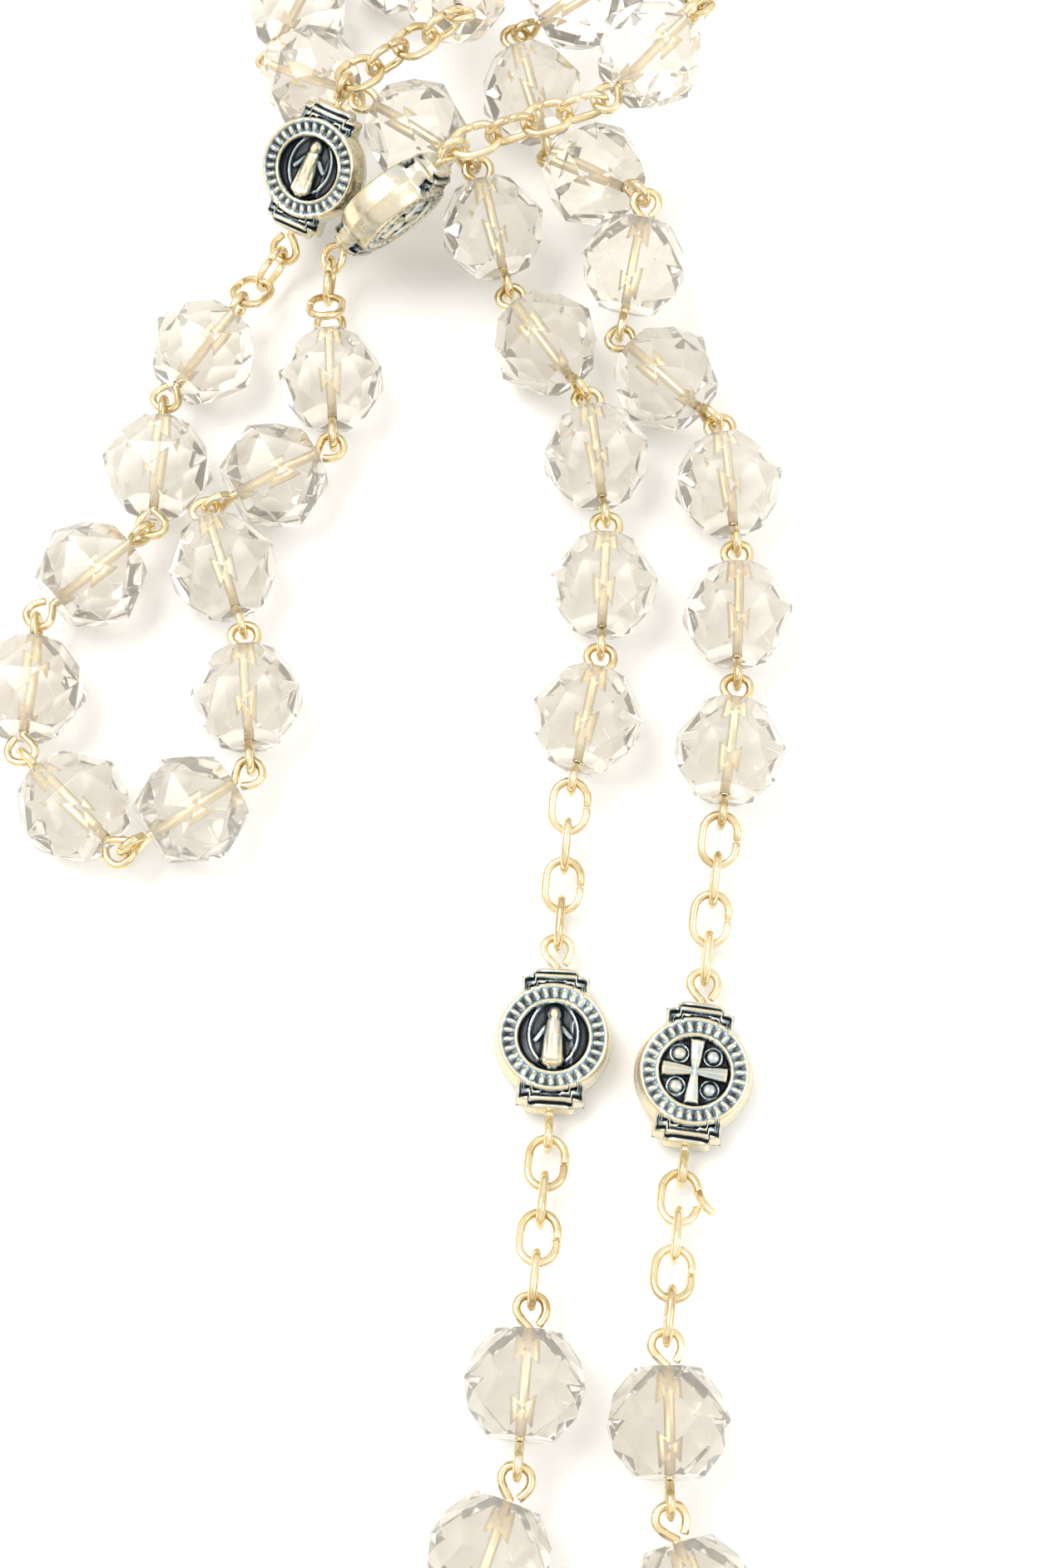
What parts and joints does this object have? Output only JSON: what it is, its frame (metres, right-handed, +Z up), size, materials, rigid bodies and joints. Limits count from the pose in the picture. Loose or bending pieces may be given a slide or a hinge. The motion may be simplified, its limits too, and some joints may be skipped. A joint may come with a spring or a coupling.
{
  "type": "rosary",
  "caption": "Rosary of faceted clear beads on gold wire eye pins, hooked together through short oval-link chains, round silver medal beads, a centrepiece and a cross.",
  "frame": {"origin": "middle of the centrepiece's flat back, on the table", "axes": "+Z up from the table, +Y from the centrepiece towards the pile of beads, +X to the right of the two strands"},
  "size_m": [0.0986, 0.252, 0.018],
  "materials": {
    "crystal": "clear, polished facets",
    "gold_wire": "polished gold plate",
    "antique_silver": "darkened silver with worn, bright high spots"
  },
  "bodies": {
    "heap": {"decade_2_upper_beads": "crystal", "decade_2_upper_pins": "gold_wire", "decade_4_upper_beads": "crystal", "decade_4_upper_pins": "gold_wire", "chain_2_top": "gold_wire", "chain_4_top": "gold_wire", "medal_bead_2": "antique_silver", "medal_pin_2": "gold_wire", "medal_bead_3": "antique_silver", "medal_pin_3": "gold_wire"},
    "decade_2_lower": {"decade_2_lower_beads": "crystal", "decade_2_lower_pins": "gold_wire"},
    "chain_2_bottom": {"chain_2_bottom": "gold_wire"},
    "medal_pin_1": {"medal_pin_1": "gold_wire"},
    "medal_bead_1": {"medal_bead_1": "antique_silver"},
    "chain_1_top": {"chain_1_top": "gold_wire"},
    "decade_1_a": {"decade_1_beads_a": "crystal", "decade_1_pins_a": "gold_wire"},
    "decade_1_b": {"decade_1_beads_b": "crystal", "decade_1_pins_b": "gold_wire"},
    "chain_1_bottom": {"chain_1_bottom": "gold_wire"},
    "centrepiece": {"centrepiece": "antique_silver"},
    "decade_4_lower": {"decade_4_lower_beads": "crystal", "decade_4_lower_pins": "gold_wire"},
    "chain_4_bottom": {"chain_4_bottom": "gold_wire"},
    "medal_pin_4": {"medal_pin_4": "gold_wire"},
    "medal_bead_4": {"medal_bead_4": "antique_silver"},
    "chain_5_top": {"chain_5_top": "gold_wire"},
    "decade_5_a": {"decade_5_beads_a": "crystal", "decade_5_pins_a": "gold_wire"},
    "decade_5_b": {"decade_5_beads_b": "crystal", "decade_5_pins_b": "gold_wire"},
    "chain_5_bottom": {"chain_5_bottom": "gold_wire"},
    "chain_3_first": {"chain_3_first": "gold_wire"},
    "decade_3_a": {"decade_3_beads_a": "crystal", "decade_3_pins_a": "gold_wire"},
    "decade_3_b": {"decade_3_beads_b": "crystal", "decade_3_pins_b": "gold_wire"},
    "decade_3_c": {"decade_3_beads_c": "crystal", "decade_3_pins_c": "gold_wire"},
    "chain_3_last": {"chain_3_last": "gold_wire"},
    "chain_drop_1": {"chain_drop_1": "gold_wire"},
    "medal_pin_5": {"medal_pin_5": "gold_wire"},
    "medal_bead_5": {"medal_bead_5": "antique_silver"},
    "chain_drop_2": {"chain_drop_2": "gold_wire"},
    "drop_pin_1": {"drop_pin_1": "gold_wire"},
    "drop_bead_1": {"drop_bead_1": "crystal"},
    "drop_pin_2": {"drop_pin_2": "gold_wire"},
    "drop_bead_2": {"drop_bead_2": "crystal"},
    "drop_pin_3": {"drop_pin_3": "gold_wire"},
    "drop_bead_3": {"drop_bead_3": "crystal"},
    "chain_drop_3": {"chain_drop_3": "gold_wire"},
    "medal_pin_6": {"medal_pin_6": "gold_wire"},
    "medal_bead_6": {"medal_bead_6": "antique_silver"},
    "chain_drop_4": {"chain_drop_4": "gold_wire"},
    "cross": {"cross": "antique_silver", "corpus": "gold_wire"}
  },
  "joints": [
    {"name": "decade_2_lower_hinge", "type": "hinge", "parent": "heap", "child": "decade_2_lower", "pos_m": [0.0002, 0.1647, 0.00385], "axis": [0, 0, 1], "range_deg": [-20, 0]},
    {"name": "chain_2_bottom_hinge", "type": "hinge", "parent": "decade_2_lower", "child": "chain_2_bottom", "pos_m": [-0.00126, 0.13337, 0.00385], "axis": [0, 0, -1], "range_deg": [0, 30]},
    {"name": "medal_pin_1_hinge", "type": "hinge", "parent": "chain_2_bottom", "child": "medal_pin_1", "pos_m": [-0.00219, 0.1227, 0.0018], "axis": [0, 0, 1], "range_deg": [-30, 0]},
    {"name": "chain_1_top_hinge", "type": "hinge", "parent": "medal_pin_1", "child": "chain_1_top", "pos_m": [-0.00292, 0.10877, 0.0018], "axis": [0, 0, -1], "range_deg": [0, 30]},
    {"name": "decade_1_a_hinge", "type": "hinge", "parent": "chain_1_top", "child": "decade_1_a", "pos_m": [-0.00404, 0.09813, 0.00385], "axis": [0, 0, 1], "range_deg": [-30, 0]},
    {"name": "decade_1_b_hinge", "type": "hinge", "parent": "decade_1_a", "child": "decade_1_b", "pos_m": [-0.02959, 0.05408, 0.00385], "axis": [0, 0, -1], "range_deg": [0, 30]},
    {"name": "chain_1_bottom_hinge", "type": "hinge", "parent": "decade_1_b", "child": "chain_1_bottom", "pos_m": [-0.01786, 0.00631, 0.00385], "axis": [0, 0, 1], "range_deg": [-15, 0]},
    {"name": "centrepiece_hinge", "type": "hinge", "parent": "chain_1_bottom", "child": "centrepiece", "pos_m": [-0.00737, 0.00516, 0.0016], "axis": [0, 0, -1], "range_deg": [0, 15]},
    {"name": "decade_4_lower_hinge", "type": "hinge", "parent": "heap", "child": "decade_4_lower", "pos_m": [0.01, 0.1624, 0.00385], "axis": [0, 0, 1], "range_deg": [0, 30]},
    {"name": "chain_4_bottom_hinge", "type": "hinge", "parent": "decade_4_lower", "child": "chain_4_bottom", "pos_m": [0.00908, 0.1309, 0.00385], "axis": [0, 0, -1], "range_deg": [-40, 0]},
    {"name": "medal_pin_4_hinge", "type": "hinge", "parent": "chain_4_bottom", "child": "medal_pin_4", "pos_m": [0.00778, 0.12027, 0.0018], "axis": [0, 0, 1], "range_deg": [0, 40]},
    {"name": "chain_5_top_hinge", "type": "hinge", "parent": "medal_pin_4", "child": "chain_5_top", "pos_m": [0.00584, 0.10645, 0.0018], "axis": [0, 0, -1], "range_deg": [-40, 0]},
    {"name": "decade_5_a_hinge", "type": "hinge", "parent": "chain_5_top", "child": "decade_5_a", "pos_m": [0.00453, 0.09583, 0.00385], "axis": [0, 0, 1], "range_deg": [0, 40]},
    {"name": "decade_5_b_hinge", "type": "hinge", "parent": "decade_5_a", "child": "decade_5_b", "pos_m": [0.02756, 0.05091, 0.00385], "axis": [0, 0, -1], "range_deg": [-40, 0]},
    {"name": "chain_5_bottom_hinge", "type": "hinge", "parent": "decade_5_b", "child": "chain_5_bottom", "pos_m": [0.01736, 0.00215, 0.00385], "axis": [0, 0, 1], "range_deg": [-30, 0]},
    {"name": "chain_3_first_hinge", "type": "hinge", "parent": "heap", "child": "chain_3_first", "pos_m": [-0.02286, 0.1781, 0.003], "axis": [0, 0, -1], "range_deg": [0, 30]},
    {"name": "decade_3_a_hinge", "type": "hinge", "parent": "chain_3_first", "child": "decade_3_a", "pos_m": [-0.02557, 0.17353, 0.00385], "axis": [0, 0, 1], "range_deg": [-40, 0]},
    {"name": "decade_3_b_hinge", "type": "hinge", "parent": "decade_3_a", "child": "decade_3_b", "pos_m": [-0.03924, 0.14685, 0.00385], "axis": [0, 0, -1], "range_deg": [0, 40]},
    {"name": "decade_3_c_hinge", "type": "hinge", "parent": "decade_3_b", "child": "decade_3_c", "pos_m": [-0.02351, 0.1349, 0.00385], "axis": [0, 0, 1], "range_deg": [-10, 0]},
    {"name": "chain_3_last_hinge", "type": "hinge", "parent": "heap", "child": "chain_3_last", "pos_m": [-0.01911, 0.1768, 0.0037], "axis": [0, 0, 1], "range_deg": [-45, 5]},
    {"name": "chain_drop_1_hinge", "type": "hinge", "parent": "centrepiece", "child": "chain_drop_1", "pos_m": [0, -0.0105, 0.0016], "axis": [0, 0, 1], "range_deg": [-10, 45]},
    {"name": "medal_pin_5_hinge", "type": "hinge", "parent": "chain_drop_1", "child": "medal_pin_5", "pos_m": [-0.00167, -0.02136, 0.0018], "axis": [0, 0, -1], "range_deg": [-45, 10]},
    {"name": "chain_drop_2_hinge", "type": "hinge", "parent": "medal_pin_5", "child": "chain_drop_2", "pos_m": [-0.00864, -0.03344, 0.0018], "axis": [0, 0, 1], "range_deg": [-5, 45]},
    {"name": "drop_pin_1_hinge", "type": "hinge", "parent": "chain_drop_2", "child": "drop_pin_1", "pos_m": [-0.01747, -0.03937, 0.00385], "axis": [0, 0, -1], "range_deg": [-45, 5]},
    {"name": "drop_pin_2_hinge", "type": "hinge", "parent": "drop_pin_1", "child": "drop_pin_2", "pos_m": [-0.02798, -0.04029, 0.00385], "axis": [0, 0, 1], "range_deg": [-5, 45]},
    {"name": "drop_pin_3_hinge", "type": "hinge", "parent": "drop_pin_2", "child": "drop_pin_3", "pos_m": [-0.03789, -0.03668, 0.00385], "axis": [0, 0, -1], "range_deg": [-45, 5]},
    {"name": "chain_drop_3_hinge", "type": "hinge", "parent": "drop_pin_3", "child": "chain_drop_3", "pos_m": [-0.04535, -0.02922, 0.00385], "axis": [0, 0, 1], "range_deg": [-5, 45]},
    {"name": "medal_pin_6_hinge", "type": "hinge", "parent": "chain_drop_3", "child": "medal_pin_6", "pos_m": [-0.05013, -0.01967, 0.0018], "axis": [0, 0, -1], "range_deg": [-45, 10]},
    {"name": "chain_drop_4_hinge", "type": "hinge", "parent": "medal_pin_6", "child": "chain_drop_4", "pos_m": [-0.05256, -0.00594, 0.0018], "axis": [0, 0, 1], "range_deg": [-10, 45]},
    {"name": "cross_hinge", "type": "hinge", "parent": "chain_drop_4", "child": "cross", "pos_m": [-0.05293, 0.00304, 0.0016], "axis": [0, 0, -1], "range_deg": [-45, 15]},
    {"name": "medal_bead_1_spin", "type": "hinge", "parent": "medal_pin_1", "child": "medal_bead_1", "pos_m": [-0.00256, 0.11574, 0.0018], "axis": [-0.0523, -0.9986, 0], "continuous": true},
    {"name": "medal_bead_4_spin", "type": "hinge", "parent": "medal_pin_4", "child": "medal_bead_4", "pos_m": [0.00681, 0.11336, 0.0018], "axis": [-0.1392, -0.9903, 0], "continuous": true},
    {"name": "medal_bead_5_spin", "type": "hinge", "parent": "medal_pin_5", "child": "medal_bead_5", "pos_m": [-0.00515, -0.0274, 0.0018], "axis": [-0.5, -0.866, 0], "continuous": true},
    {"name": "medal_bead_6_spin", "type": "hinge", "parent": "medal_pin_6", "child": "medal_bead_6", "pos_m": [-0.05135, -0.0128, 0.0018], "axis": [-0.1736, 0.9848, 0], "continuous": true},
    {"name": "drop_bead_1_spin", "type": "hinge", "parent": "drop_pin_1", "child": "drop_bead_1", "pos_m": [-0.02272, -0.03983, 0.00385], "axis": [-0.9962, -0.0872, 0], "continuous": true},
    {"name": "drop_bead_2_spin", "type": "hinge", "parent": "drop_pin_2", "child": "drop_bead_2", "pos_m": [-0.03293, -0.03849, 0.00385], "axis": [-0.9397, 0.342, 0], "continuous": true},
    {"name": "drop_bead_3_spin", "type": "hinge", "parent": "drop_pin_3", "child": "drop_bead_3", "pos_m": [-0.04162, -0.03295, 0.00385], "axis": [-0.7071, 0.7071, 0], "continuous": true}
  ]
}
